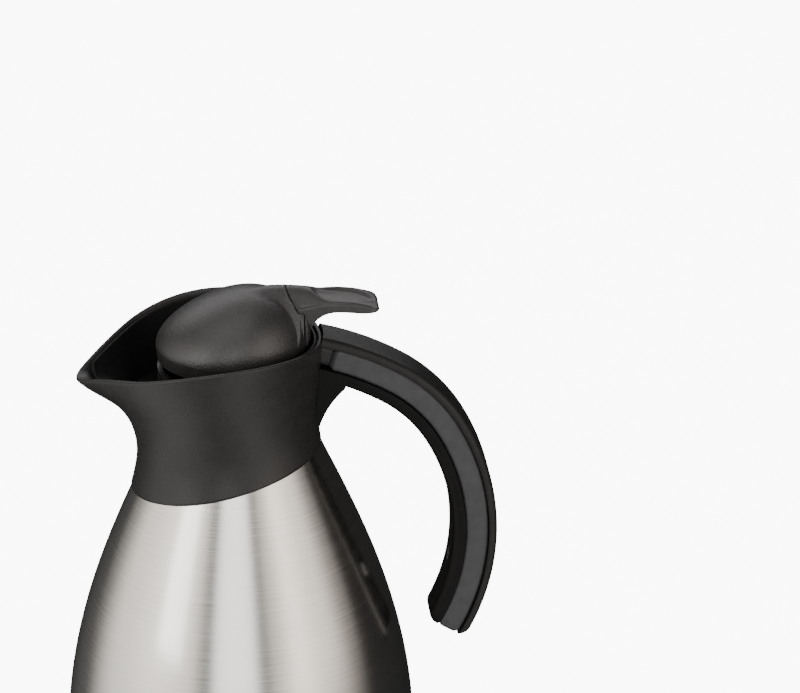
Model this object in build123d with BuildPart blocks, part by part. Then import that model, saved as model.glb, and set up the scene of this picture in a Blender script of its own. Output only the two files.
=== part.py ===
from build123d import *
import os
from math import acos, atan2, cos, radians, sin, sqrt

os.makedirs("parts", exist_ok=True)

# Thermal carafe with a spring-closed flip lid. Millimetres, +Z up. The origin is on the flask's axis in the
# plane that the carafe stands on; the spout points to -X and the handle to +X.

# ---- Flask: outer jacket of sheet steel around an inner vessel, with a vacuum between them
jacket_wall = 0.8
foot_height = 7.0
foot_radius = 64.4
belly_height = 52.0
belly_radius = 68.1
flank_height = 115.0
flank_radius = 56.2
shoulder_height = 165.0
shoulder_radius = 35.35
shoulder_slope = 0.47
foot_slope = 0.17
neck_start = 183.5
neck_radius = 27.0
neck_top = 188.0
vessel_wall = 0.6
vacuum_gap = 5.0
vessel_floor = 17.0
mouth_radius = 24.6
lip_thickness = 0.8

fit_gap = 0.05

# ---- Base
base_plate_thickness = 0.8
base_plate_height = 12.0
cup_wall = 2.4
cup_edge = 1.5
clip_gap = 0.15
pad_radius = 52.0
pad_thickness = 2.2
pad_recess = 1.2
getter_radius = 9.0
getter_thickness = 2.0
seal_plug_radius = 5.0
seal_plug_thickness = 1.6

# ---- Collar: each section is (height above the slanted foot, centre x, half width, rear x, nose)
collar_tilt = 13.3
collar_wall = 2.0
collar_foot_lap = 0.15
collar_sections = [
    (-4.0, -4.3, 37.6, 33.3, 0.0),
    (13.0, -3.4, 34.8, 31.3, 0.0),
    (24.0, -3.4, 36.0, 32.0, 0.3),
    (36.0, -5.2, 39.4, 33.0, 2.0),
    (46.0, -7.0, 42.8, 34.0, 7.6),
    (58.0, -8.2, 46.2, 35.2, 12.0),
]
outline_turns = [0, 8, 16, 25, 36, 50, 70, 90, 115, 140, 162, 180]
spout_tip_radius = 11.0
rim_arc_radius = 125.0
rim_crest_x = 4.0
rim_crest_height = 218.5
flange_height = 184.0
flange_thickness = 2.0
clamp_ring_height = 3.4
clamp_ring_width = 2.0
thread_clearance = 0.1
gasket_thickness = 1.2

# ---- Pouring insert inside the collar
insert_gap = 0.3
insert_wall = 1.3
insert_drop = 1.2
insert_floor = 1.6

# ---- Handle: three arcs down its back, each a radius and the turn from level at its end
handle_start = (30.3, 217.0)
handle_turns = [12.0, 30.0, 60.0, 120.5]
root_turn = 9.0
handle_radii = [115.0, 66.0, 92.0]
handle_depth = 17.5
back_shell_depth = 3.2
front_shell_depth = 5.2
back_shell_width = 19.0
core_width = 16.0
front_shell_width = 18.0
handle_end_rounding = 5.0
core_start_turn = 16.0
back_shell_rounding = 2.6
front_shell_rounding = 3.6
gusset_end_turn = 21.0
handle_screw_bite = 2.0
gusset_foot = 175.0
gusset_inset = 5.0
gusset_flare = 0.15
boss_width = 9.0
boss_depth = 6.4
boss_end_turn = 26.0
cross_pin_turn = 22.0
cross_pin_radius = 1.5
handle_screw_turns = [40.0, 100.0]
handle_screw_radius = 1.6
handle_screw_head = 3.2
handle_screw_head_height = 2.0
screw_sink = 0.3

# ---- Stopper
stopper_clearance = 0.2
plug_radius = 23.4
plug_foot = 180.5
bore_radius = 14.5
seat_width = 2.0
seat_height = 198.0
shoulder_plate = 2.2
guard_radius = 28.5
guard_wall = 2.0
guard_shift = -1.0
guard_top = 204.0
plug_seal_height = 3.0
plug_seal_centre = 186.0
plug_seal_depth = 1.4

stay_x = 17.8
stay_thickness = 1.2

# ---- Hinge of the lid
hinge_x = 21.5
hinge_height = 215.0
hinge_pin_radius = 1.5
hinge_clearance = 0.05
knuckle_radius = 3.1
knuckle_inner = 3.6
knuckle_outer = 5.3
ear_inner = 5.6
ear_outer = 8.2
ear_radius = 2.6
ear_slot_top = 215.5
spring_wire_radius = 0.4
spring_turns = 5
spring_coil_radius = 2.5
spring_half_width = 2.7
spring_leg_turn = 260.0
spring_foot = 205.5

# ---- Lid
dome_centre_x = -0.8
dome_radius = 29.1
dome_base = 212.6
dome_height = 20.4
dome_lean = 0.224
dome_wall = 2.2
dome_turns = [0, 14, 28, 42, 56, 70, 82]
skirt_depth = 5.0
skirt_taper = 0.6
plate_thickness = 2.4
plate_recess = 0.6
plate_gap = 0.2
valve_radius = 16.8
valve_neck_radius = 14.0
valve_foot = 199.5
valve_seal_thickness = 3.0
foam_radius = 15.5
foam_height = 7.0
foam_centre_x = -3.0
lid_screw_circle = 21.3
lid_screw_radius = 1.25
lid_screw_head = 2.3
lid_screw_head_height = 1.2
lid_boss_radius = 3.0
lid_screw_turns = [90, 180, 270]
lid_screw_bite = 5.0
ear_clearance = 0.4
lever_width = 19.0
lever_recess_length = 20.0
lever_recess_width = 13.0
lever_gap = 0.1
lever_nose_x = 19.8
lever_nose_radius = 13.0
lever_tip_x = 54.8
lever_under = [(53.8, 226.4), (49.4, 226.1), (41.0, 226.8), (34.0, 226.0), (28.9, 221.0)]
crest_sections = [
    (4.0, 233.0, 226.0),
    (12.0, 235.0, 229.0),
    (19.0, 235.2, 228.8),
    (25.0, 234.8, 228.2),
    (29.0, 234.0, 229.1),
    (33.0, 232.6, 230.1),
    (41.5, 231.0, 230.5),
    (50.0, 229.4, 229.1),
    (58.0, 226.4, 226.3),
]
crest_foot = 215.0
crest_end = 24.5
lever_root_back = 28.9
lever_root_front = 26.6
lever_root_foot = 213.6
lever_inside = (19.8, 226.0)


# ---- Flask -----------------------------------------------------------------------------------------------
def flask_solid(inset, neck, top):
    """Solid of revolution in the jacket's outline, drawn in by inset on the body and to neck at the top."""
    with BuildPart() as solid:
        with BuildSketch(Plane.XZ):
            with BuildLine():
                shoulder = (shoulder_radius - inset, shoulder_height)
                cone_share = 0.8 * (neck_start - shoulder_height)
                cone_radius = max(neck, shoulder_radius - inset - shoulder_slope * cone_share)
                side = Spline(
                    (foot_radius - inset, foot_height),
                    (belly_radius - inset, belly_height),
                    (flank_radius - inset, flank_height),
                    shoulder,
                    tangents=[(foot_slope, 1), (-shoulder_slope, 1)],
                )
                cone = Spline(
                    shoulder,
                    (cone_radius, shoulder_height + cone_share),
                    (neck, neck_start),
                    tangents=[(-shoulder_slope, 1), (0, 1)],
                )
                Line(cone @ 1, (neck, top))
                Line((neck, top), (0, top))
                Line((0, top), (0, foot_height))
                Line((0, foot_height), side @ 0)
            make_face()
        revolve(axis=Axis.Z)
    return solid.part


with BuildPart() as outer_jacket:
    add(flask_solid(0, neck_radius, neck_top))
    add(flask_solid(jacket_wall, neck_radius - jacket_wall, neck_top), mode=Mode.SUBTRACT)
outer_jacket.part.label = "outer_jacket"
export_step(outer_jacket.part, "parts/outer_jacket.step")


vessel_inset = jacket_wall + vacuum_gap


def above(part, height):
    """The stretch of a part that lies above a level."""
    with BuildPart() as rest:
        add(part)
        split(bisect_by=Plane.XY.offset(height), keep=Keep.TOP)
    return rest.part


vessel_outside = above(flask_solid(vessel_inset, mouth_radius + vessel_wall, neck_top), vessel_floor)
vessel_inside = above(
    flask_solid(vessel_inset + vessel_wall, mouth_radius, neck_top + lip_thickness), vessel_floor + vessel_wall
)
with BuildPart() as inner_vessel:
    add(vessel_outside)
    with BuildSketch(Plane.XY.offset(neck_top)):
        Circle(neck_radius)
    extrude(amount=lip_thickness)
    add(vessel_inside, mode=Mode.SUBTRACT)
inner_vessel.part.label = "inner_vessel"
export_step(inner_vessel.part, "parts/inner_vessel.step")

with BuildPart() as jacket_base:
    add(flask_solid(jacket_wall + fit_gap, neck_radius, neck_top))
    split(bisect_by=Plane.XY.offset(base_plate_height), keep=Keep.TOP)
    split(bisect_by=Plane.XY.offset(base_plate_height + base_plate_thickness), keep=Keep.BOTTOM)
jacket_base.part.label = "jacket_base"
export_step(jacket_base.part, "parts/jacket_base.step")

with BuildPart() as getter:
    with BuildSketch(Plane.XY.offset(base_plate_height + base_plate_thickness)):
        Circle(getter_radius)
    extrude(amount=getter_thickness)
    chamfer(getter.edges().group_by(Axis.Z)[-1], getter_thickness / 4)
getter.part.label = "getter"
export_step(getter.part, "parts/getter.step")

with BuildPart() as vacuum_seal:
    with BuildSketch(Plane.XY.offset(base_plate_height)):
        Circle(seal_plug_radius)
    extrude(amount=-seal_plug_thickness)
    fillet(vacuum_seal.edges().group_by(Axis.Z)[0], seal_plug_thickness / 3)
vacuum_seal.part.label = "vacuum_seal"
export_step(vacuum_seal.part, "parts/vacuum_seal.step")

# ---- Base: a cup clipped into the foot of the jacket, on a soft pad
cup_bottom = pad_thickness - pad_recess
cup_floor = cup_bottom + pad_recess + cup_wall / 2
lip_outer = foot_radius - jacket_wall - clip_gap
with BuildPart() as base_cup:
    with BuildSketch(Plane.XZ):
        with BuildLine():
            Polyline(
                (0, cup_bottom),
                (foot_radius - cup_edge, cup_bottom),
                (foot_radius, cup_bottom + cup_edge),
                (foot_radius, foot_height),
                (lip_outer, foot_height),
                (lip_outer, base_plate_height - fit_gap),
                (lip_outer - cup_wall, base_plate_height - fit_gap),
                (lip_outer - cup_wall, cup_floor),
                (0, cup_floor),
                (0, cup_bottom),
            )
        make_face()
    revolve(axis=Axis.Z)
    with BuildSketch(Plane.XY.offset(cup_bottom)):
        Circle(pad_radius + fit_gap)
    extrude(amount=pad_recess, mode=Mode.SUBTRACT)
base_cup.part.label = "base_cup"
export_step(base_cup.part, "parts/base_cup.step")

with BuildPart() as foot_pad:
    with BuildSketch():
        Circle(pad_radius)
    extrude(amount=pad_thickness)
    chamfer(foot_pad.edges().group_by(Axis.Z)[0], pad_thickness / 4)
foot_pad.part.label = "foot_pad"
export_step(foot_pad.part, "parts/foot_pad.step")


# ---- Collar ----------------------------------------------------------------------------------------------
def collar_plane(height):
    """The plane at a height above the collar's slanted foot, which rises towards the handle."""
    tilt = radians(collar_tilt)
    origin = (0, 0, shoulder_height + height)
    return Plane(origin=origin, x_dir=(cos(tilt), 0, sin(tilt)), z_dir=(-sin(tilt), 0, cos(tilt)))


def collar_outline(section, inset):
    """Points round one section: a round body drawn out by straight flanks to a small round nose."""
    _, centre, half, rear, nose = section
    tip = spout_tip_radius - inset
    reach = half + nose - spout_tip_radius
    flank = acos((half - spout_tip_radius) / reach)
    tip_end = atan2(tip * sin(flank), reach + tip * cos(flank))
    points = []
    for turn in outline_turns:
        angle = radians(turn)
        if turn > 90:
            radius = 1 / sqrt((cos(angle) / (rear - centre - inset)) ** 2 + (sin(angle) / (half - inset)) ** 2)
        elif angle >= flank:
            radius = half - inset
        elif angle >= tip_end:
            radius = (half - inset) / cos(flank - angle)
        else:
            radius = reach * cos(angle) + sqrt(tip**2 - (reach * sin(angle)) ** 2)
        points.append(((centre - radius * cos(angle)) / cos(radians(collar_tilt)), radius * sin(angle)))
    return points + [(x, -y) for x, y in reversed(points[1:-1])]


def collar_solid(inset):
    """The collar's outer form, drawn in by inset all round, from below its foot to above its rim."""
    with BuildPart() as solid:
        for section in collar_sections:
            with BuildSketch(collar_plane(section[0])):
                with BuildLine():
                    Spline(*collar_outline(section, inset), periodic=True)
                make_face()
        loft()
    return solid.part


def under_rim(part, drop):
    """A part cut off along the rim's arc, seen from the side, lowered by drop."""
    with BuildPart() as cut:
        add(part)
        with BuildSketch(Plane.XZ):
            with Locations((rim_crest_x, rim_crest_height - rim_arc_radius)):
                Circle(rim_arc_radius - drop)
        extrude(amount=2 * belly_radius, both=True, mode=Mode.INTERSECT)
    return cut.part


vessel_rim = neck_top + lip_thickness
insert_foot = vessel_rim + gasket_thickness
insert_seat = insert_foot + insert_floor
clamp_seat = flange_height + flange_thickness


def slab(part, bottom, top):
    """The slice of a part between two levels."""
    with BuildPart() as slice_:
        add(part)
        split(bisect_by=Plane.XY.offset(bottom), keep=Keep.TOP)
        split(bisect_by=Plane.XY.offset(top), keep=Keep.BOTTOM)
    return slice_.part


# ---- Handle outline: three tangent arcs down its back, and their offsets
def handle_arc_centres():
    """Centres of the arcs down the handle's back, each found from the end of the arc before it."""
    x, z = handle_start
    centres = []
    for radius, start, end in zip(handle_radii, handle_turns, handle_turns[1:]):
        centre = (x - radius * sin(radians(start)), z - radius * cos(radians(start)))
        x = centre[0] + radius * sin(radians(end))
        z = centre[1] + radius * cos(radians(end))
        centres.append(centre)
    return centres


handle_centres = handle_arc_centres()


def handle_point(turn, depth):
    """The point on the handle where its back has turned this far from level, at a depth inside the back."""
    index = max(i for i in range(len(handle_radii)) if i == 0 or handle_turns[i] <= turn)
    centre_x, centre_z = handle_centres[index]
    radius = handle_radii[index] - depth
    return (centre_x + radius * sin(radians(turn)), centre_z + radius * cos(radians(turn)))


def handle_curve(depth, start, end):
    """Arcs that run depth inside the handle's back between two turns, drawn in the open line context."""
    for index, (centre, radius) in enumerate(zip(handle_centres, handle_radii)):
        low = start if index == 0 else max(start, handle_turns[index])
        high = min(end, handle_turns[index + 1])
        if high > low:
            CenterArc(centre, radius - depth, 90 - low, low - high)


def handle_block(near, far, start, end, width):
    """A bar that follows the handle between two depths inside its back."""
    with BuildPart() as bar:
        with BuildSketch(Plane.XZ):
            with BuildLine():
                handle_curve(near, start, end)
                Line(handle_point(end, near), handle_point(end, far))
                handle_curve(far, start, end)
                Line(handle_point(start, far), handle_point(start, near))
            make_face()
        extrude(amount=width / 2, both=True)
    return bar.part


# ---- Collar, its clamp ring and the neck's gasket ----------------------------------------------------------
collar_form = collar_solid(0)
collar_hollow = collar_solid(collar_wall)
collar_grip = collar_solid(collar_wall / 2)
core_depth = (back_shell_depth + handle_depth - front_shell_depth) / 2
handle_end = handle_turns[-1]


def clear_of_collar(part):
    """A handle piece cut to lie against the collar."""
    with BuildPart() as piece:
        add(part)
        add(collar_solid(-fit_gap), mode=Mode.SUBTRACT)
    return piece.part.solids().sort_by(Axis.X)[-1]


with BuildPart() as boss:
    add(handle_block(core_depth - boss_depth / 2, core_depth + boss_depth / 2, root_turn, boss_end_turn, boss_width))
    add(collar_grip, mode=Mode.SUBTRACT)

with BuildPart() as collar:
    add(under_rim(collar_form, 0))
    split(bisect_by=collar_plane(0), keep=Keep.TOP)
    add(collar_hollow, mode=Mode.SUBTRACT)
    add(slab(collar_grip, flange_height, clamp_seat))
    add(boss.part)
    add(flask_solid(-collar_foot_lap, neck_radius + thread_clearance, neck_top), mode=Mode.SUBTRACT)
    with BuildSketch(Plane.XZ):
        with Locations(handle_point(cross_pin_turn, core_depth)):
            Circle(cross_pin_radius)
    extrude(amount=core_width, both=True, mode=Mode.SUBTRACT)
collar.part.label = "collar"
export_step(collar.part, "parts/collar.step")

with BuildPart() as clamp_ring:
    with BuildSketch(Plane.XY.offset(clamp_seat)):
        Circle(neck_radius + thread_clearance + clamp_ring_width)
        Circle(neck_radius + thread_clearance, mode=Mode.SUBTRACT)
    extrude(amount=clamp_ring_height)
clamp_ring.part.label = "clamp_ring"
export_step(clamp_ring.part, "parts/clamp_ring.step")

with BuildPart() as neck_gasket:
    with BuildSketch(Plane.XY.offset(vessel_rim)):
        Circle(neck_radius)
        Circle(mouth_radius, mode=Mode.SUBTRACT)
    extrude(amount=gasket_thickness)
neck_gasket.part.label = "neck_gasket"
export_step(neck_gasket.part, "parts/neck_gasket.step")

# ---- Pouring insert: a thin bowl inside the collar, with the pouring lip at its front
insert_inset = collar_wall + insert_gap
with BuildPart() as pour_insert:
    add(under_rim(collar_solid(insert_inset), insert_drop))
    split(bisect_by=Plane.XY.offset(insert_foot), keep=Keep.TOP)
    add(above(collar_solid(insert_inset + insert_wall), insert_seat), mode=Mode.SUBTRACT)
    with BuildSketch(Plane.XY.offset(insert_foot)):
        Circle(mouth_radius)
    extrude(amount=insert_floor, mode=Mode.SUBTRACT)
pour_insert.part.label = "pour_insert"
export_step(pour_insert.part, "parts/pour_insert.step")

# ---- Handle: a grey core held between a back shell and a finger-side shell
front_start = handle_depth - front_shell_depth


def handle_screw_cut(radius, depth, length):
    """Round holes through the handle from its finger side, in from a depth."""
    with BuildPart() as holes:
        for turn in handle_screw_turns:
            x, z = handle_point(turn, depth)
            axis = (sin(radians(turn)), 0, cos(radians(turn)))
            with BuildSketch(Plane(origin=(x, 0, z), x_dir=(0, 1, 0), z_dir=axis)):
                Circle(radius)
        extrude(amount=length)
    return holes.part


def rounded_end(part):
    """A handle piece with the free end's corners rounded as one."""
    with BuildPart() as outline:
        with BuildSketch(Plane.XZ) as side:
            with BuildLine():
                handle_curve(0, root_turn - 8, handle_end)
                Line(handle_point(handle_end, 0), handle_point(handle_end, handle_depth))
                handle_curve(handle_depth, root_turn - 8, handle_end)
                Line(handle_point(root_turn - 8, handle_depth), handle_point(root_turn - 8, 0))
            make_face()
            fillet(side.vertices().group_by(Axis.Y)[:2], handle_end_rounding)
        extrude(amount=belly_radius, both=True)
    return part & outline.part


def round_along(solid, depth, radius):
    """Rounds the long edges of a handle piece that follow its curve at this depth."""
    sizes = [arc - depth for arc in handle_radii]
    edges = solid.edges().filter_by(GeomType.CIRCLE)
    return fillet([edge for edge in edges if min(abs(edge.radius - size) for size in sizes) < 0.01], radius)


with BuildPart() as handle_back_shell:
    add(clear_of_collar(rounded_end(handle_block(0, back_shell_depth, root_turn, handle_end, back_shell_width))))
    round_along(handle_back_shell, 0, back_shell_rounding)
    add(
        handle_screw_cut(handle_screw_radius, back_shell_depth + handle_screw_bite, 2 * handle_screw_bite),
        mode=Mode.SUBTRACT,
    )
handle_back_shell.part.label = "handle_back_shell"
export_step(handle_back_shell.part, "parts/handle_back_shell.step")

with BuildPart() as handle_core:
    add(handle_block(back_shell_depth, front_start, core_start_turn, handle_end, core_width))
    socket = boss_depth / 2 + fit_gap
    add(
        handle_block(
            core_depth - socket, core_depth + socket, root_turn, boss_end_turn + 1, boss_width + 2 * fit_gap
        ),
        mode=Mode.SUBTRACT,
    )
    add(handle_screw_cut(handle_screw_radius, handle_depth, handle_depth), mode=Mode.SUBTRACT)
    with BuildSketch(Plane.XZ):
        with Locations(handle_point(cross_pin_turn, core_depth)):
            Circle(cross_pin_radius)
    extrude(amount=core_width, both=True, mode=Mode.SUBTRACT)
handle_core.part.label = "handle_core"
export_step(handle_core.part, "parts/handle_core.step")

gusset_root = (shoulder_radius - gusset_inset, gusset_foot)
with BuildPart() as gusset:
    with BuildSketch(Plane.XZ):
        with BuildLine():
            TangentArc(gusset_root, handle_point(gusset_end_turn, handle_depth), tangent=(gusset_flare, 1))
            Line(handle_point(gusset_end_turn, handle_depth), handle_point(gusset_end_turn, front_start))
            handle_curve(front_start, root_turn, gusset_end_turn)
            Line(handle_point(root_turn, front_start), gusset_root)
        make_face()
    extrude(amount=front_shell_width / 2, both=True)

with BuildPart() as handle_front_shell:
    add(rounded_end(handle_block(front_start + fit_gap, handle_depth, root_turn, handle_end, front_shell_width)))
    round_along(handle_front_shell, handle_depth, front_shell_rounding)
    add(gusset.part)
    add(collar_solid(-fit_gap), mode=Mode.SUBTRACT)
    add(handle_screw_cut(handle_screw_radius, handle_depth, handle_depth), mode=Mode.SUBTRACT)
    head_cut = 2 * handle_screw_head_height
    add(
        handle_screw_cut(handle_screw_head, handle_depth + handle_screw_head_height, head_cut),
        mode=Mode.SUBTRACT,
    )
handle_front_shell.part.label = "handle_front_shell"
export_step(handle_front_shell.part, "parts/handle_front_shell.step")

with BuildPart() as handle_screws:
    shank_length = handle_depth - back_shell_depth + handle_screw_bite
    add(handle_screw_cut(handle_screw_radius - fit_gap, handle_depth - screw_sink, shank_length - screw_sink))
    add(handle_screw_cut(handle_screw_head - fit_gap, handle_depth - screw_sink, handle_screw_head_height - screw_sink))
handle_screws.part.label = "handle_screws"
export_step(handle_screws.part, "parts/handle_screws.step")

with BuildPart() as handle_cross_pin:
    with BuildSketch(Plane.XZ):
        with Locations(handle_point(cross_pin_turn, core_depth)):
            Circle(cross_pin_radius - fit_gap)
    extrude(amount=core_width / 2 - fit_gap, both=True)
handle_cross_pin.part.label = "handle_cross_pin"
export_step(handle_cross_pin.part, "parts/handle_cross_pin.step")


# ---- Stopper ---------------------------------------------------------------------------------------------
def ring(centre_x, outer, inner, bottom, top):
    """A plain upright ring or, with no inner radius, a disc."""
    with BuildPart() as solid:
        with BuildSketch(Plane.XY.offset(bottom)):
            with Locations((centre_x, 0)):
                Circle(outer)
                if inner:
                    Circle(inner, mode=Mode.SUBTRACT)
        extrude(amount=top - bottom)
    return solid.part


def side_pair(outline, inner, outer):
    """Two plates cut to a side outline, one each side of the middle plane."""
    with BuildPart() as plates:
        with BuildSketch(Plane.XZ.offset(inner)):
            add(outline)
        extrude(amount=outer - inner)
        mirror(about=Plane.XZ)
    return plates.part


seat_floor = insert_seat + shoulder_plate
ear_back = guard_shift + guard_radius - guard_wall
with BuildSketch() as ear_outline:
    with Locations((hinge_x, hinge_height)):
        Circle(ear_radius)
    with BuildLine():
        Polyline(
            (hinge_x - ear_radius, hinge_height),
            (hinge_x - ear_radius, insert_seat),
            (ear_back + guard_wall / 2, insert_seat),
            (ear_back + guard_wall / 2, guard_top),
            (hinge_x + ear_radius, guard_top),
            (hinge_x + ear_radius, hinge_height),
            close=True,
        )
    make_face()
    with Locations((hinge_x, hinge_height)):
        Circle(hinge_pin_radius + hinge_clearance, mode=Mode.SUBTRACT)

with BuildPart() as stopper_body:
    add(ring(0, plug_radius, 0, plug_foot, insert_seat))
    add(ring(guard_shift, guard_radius, 0, insert_seat, seat_floor))
    add(ring(guard_shift, guard_radius, guard_radius - guard_wall, insert_seat, guard_top))
    add(ring(0, bore_radius + seat_width, 0, insert_seat, seat_height))
    add(ring(0, bore_radius, 0, plug_foot, seat_height), mode=Mode.SUBTRACT)
    seal_groove = (plug_seal_centre - plug_seal_height / 2, plug_seal_centre + plug_seal_height / 2)
    add(ring(0, plug_radius, plug_radius - plug_seal_depth, *seal_groove), mode=Mode.SUBTRACT)
    add(side_pair(ear_outline.sketch, ear_inner, ear_outer))
    with BuildSketch(Plane.XY.offset(insert_seat)):
        with Locations((stay_x, 0)):
            Rectangle(stay_thickness, 2 * ear_inner)
    extrude(amount=guard_top - insert_seat)
stopper_body.part.label = "stopper_body"
export_step(stopper_body.part, "parts/stopper_body.step")

with BuildPart() as plug_seal:
    add(
        ring(
            0,
            mouth_radius - stopper_clearance,
            plug_radius - plug_seal_depth + fit_gap,
            seal_groove[0] + fit_gap,
            seal_groove[1] - fit_gap,
        )
    )
    fillet(plug_seal.edges().sort_by(SortBy.LENGTH)[-2:], plug_seal_height / 4)
plug_seal.part.label = "plug_seal"
export_step(plug_seal.part, "parts/plug_seal.step")

with BuildPart() as hinge_pin:
    with BuildSketch(Plane.XZ):
        with Locations((hinge_x, hinge_height)):
            Circle(hinge_pin_radius)
    extrude(amount=ear_outer, both=True)
    chamfer(hinge_pin.edges().filter_by(GeomType.CIRCLE), hinge_pin_radius / 5)
hinge_pin.part.label = "hinge_pin"
export_step(hinge_pin.part, "parts/hinge_pin.step")


# ---- Lid -------------------------------------------------------------------------------------------------
def dome_rise(x, inset):
    """Height of the dome's middle line over its widest level: a half ellipse that leans to the rear."""
    radius = dome_radius - inset
    return (dome_height - inset + dome_lean * x) * sqrt(max(0, 1 - (x / radius) ** 2))


def dome_oval(share, inset):
    """Centre x, half length and half width of the dome's level at a share of its height."""
    radius = dome_radius - inset
    crown = max(range(-10, 20), key=lambda x: dome_rise(x, inset))
    level = share * dome_rise(crown, inset)
    ends = []
    for edge in (-radius, radius):
        low, high = edge, crown
        for _ in range(30):
            middle = (low + high) / 2
            low, high = (middle, high) if dome_rise(middle, inset) < level else (low, middle)
        ends.append(low)
    centre = sum(ends) / 2
    lean_height = dome_height - inset + dome_lean * centre
    width = sqrt(radius**2 * (1 - (level / lean_height) ** 2) - centre**2)
    return centre, (ends[1] - ends[0]) / 2, width, level


def dome_solid(inset, skirt):
    """The lid's domed form, drawn in by inset, over a slightly tapered skirt."""
    with BuildPart() as solid:
        with BuildSketch(Plane.XY.offset(dome_base - skirt)):
            with Locations((dome_centre_x, 0)):
                Circle(dome_radius - inset - skirt_taper)
        with BuildSketch(Plane.XY.offset(dome_base)):
            with Locations((dome_centre_x, 0)):
                Circle(dome_radius - inset)
        loft()
        for turn in dome_turns:
            centre, length, width, level = dome_oval(sin(radians(turn)), inset)
            with BuildSketch(Plane.XY.offset(dome_base + level)):
                with Locations((dome_centre_x + centre, 0)):
                    Ellipse(length, width)
        loft()
    return solid.part


def crest_form():
    """The rounded ridge that runs from the dome's crown into the lever, over a flat-sided block."""
    half = lever_width / 2
    with BuildPart() as crest:
        for x, crown, edge in crest_sections:
            with BuildSketch(Plane.YZ.offset(x)):
                with BuildLine():
                    ThreePointArc((-half, edge), (0, crown), (half, edge))
                    Polyline((half, edge), (half, crest_foot), (-half, crest_foot), (-half, edge))
                make_face()
        loft()
    return crest.part


def lever_block(gap):
    """The thumb lever's outline grown by gap: a plate from the dome's crown past the rim over its root."""
    nose_centre = lever_nose_x + lever_nose_radius
    with BuildPart() as lever:
        with BuildSketch(Plane.XZ):
            with BuildLine():
                under = Spline(*lever_under, tangents=[(-1, -0.1), (-0.35, -1)])
                Polyline(
                    under @ 1,
                    (lever_root_back, lever_root_foot),
                    (lever_root_front, lever_root_foot),
                    lever_inside,
                    (lever_inside[0] - lever_nose_radius, dome_base + 2 * dome_height),
                    (lever_tip_x, dome_base + 2 * dome_height),
                    (lever_tip_x, lever_under[0][1] + 1),
                    lever_under[0],
                )
            make_face()
            if gap:
                offset(amount=gap)
        extrude(amount=lever_width / 2 + gap, both=True)
        with BuildSketch():
            with Locations((nose_centre, 0)):
                Circle(lever_nose_radius + gap)
            with Locations((nose_centre + lever_tip_x / 2, 0)):
                Rectangle(lever_tip_x, lever_width + 2 * gap)
        extrude(amount=dome_base + 2 * dome_height, mode=Mode.INTERSECT)
        with BuildSketch():
            with Locations((lever_root_back, 0)):
                Rectangle(lever_width, lever_width + 4 * gap)
            Circle(lever_root_back + gap, mode=Mode.SUBTRACT)
        extrude(amount=lever_under[-1][1], mode=Mode.SUBTRACT)
    return lever.part


plate_foot = dome_base - skirt_depth + plate_recess
plate_top = plate_foot + plate_thickness
skirt_foot_radius = dome_radius - dome_wall - skirt_taper
screw_spots = [Pos(dome_centre_x, 0) * Pos(Vector(lid_screw_circle, 0).rotate(Axis.Z, turn)) for turn in lid_screw_turns]

with BuildPart() as dome_fill:
    add(dome_solid(dome_wall / 2, skirt_depth - plate_recess))

with BuildPart() as lid_dome:
    add(crest_form())
    split(bisect_by=Plane.YZ.offset(crest_end), keep=Keep.BOTTOM)
    add(dome_solid(0, skirt_depth))
    add(dome_solid(dome_wall, skirt_depth), mode=Mode.SUBTRACT)
    with BuildPart(mode=Mode.PRIVATE) as bosses:
        with BuildSketch(Plane.XY.offset(plate_top)):
            with Locations(screw_spots):
                Circle(lid_boss_radius)
        extrude(amount=dome_height)
        add(dome_fill.part, mode=Mode.INTERSECT)
    add(bosses.part)
    with BuildSketch(Plane.XY.offset(plate_top)):
        with Locations(screw_spots):
            Circle(lid_screw_radius)
    extrude(amount=lid_screw_bite + lid_screw_radius, mode=Mode.SUBTRACT)
    with BuildSketch(Plane.XY.offset(plate_foot - plate_recess)):
        with Locations((hinge_x + dome_radius / 2, 0)):
            Rectangle(dome_radius, 2 * (ear_outer + ear_clearance))
    extrude(amount=ear_slot_top - plate_foot + plate_recess, mode=Mode.SUBTRACT)
    add(lever_block(lever_gap), mode=Mode.SUBTRACT)
lid_dome.part.label = "lid_dome"
export_step(lid_dome.part, "parts/lid_dome.step")

with BuildPart() as thumb_lever:
    add(crest_form())
    add(lever_block(0), mode=Mode.INTERSECT)
    recess_start, recess_end = crest_sections[4], crest_sections[7]
    middle = ((recess_start[0] + recess_end[0]) / 2, (recess_start[2] + recess_end[2]) / 2)
    with BuildSketch(Plane((middle[0], 0, middle[1]))):
        Ellipse(lever_recess_length / 2, lever_recess_width / 2)
    extrude(amount=dome_height, mode=Mode.SUBTRACT)
thumb_lever.part.label = "thumb_lever"
export_step(thumb_lever.part, "parts/thumb_lever.step")

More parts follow.
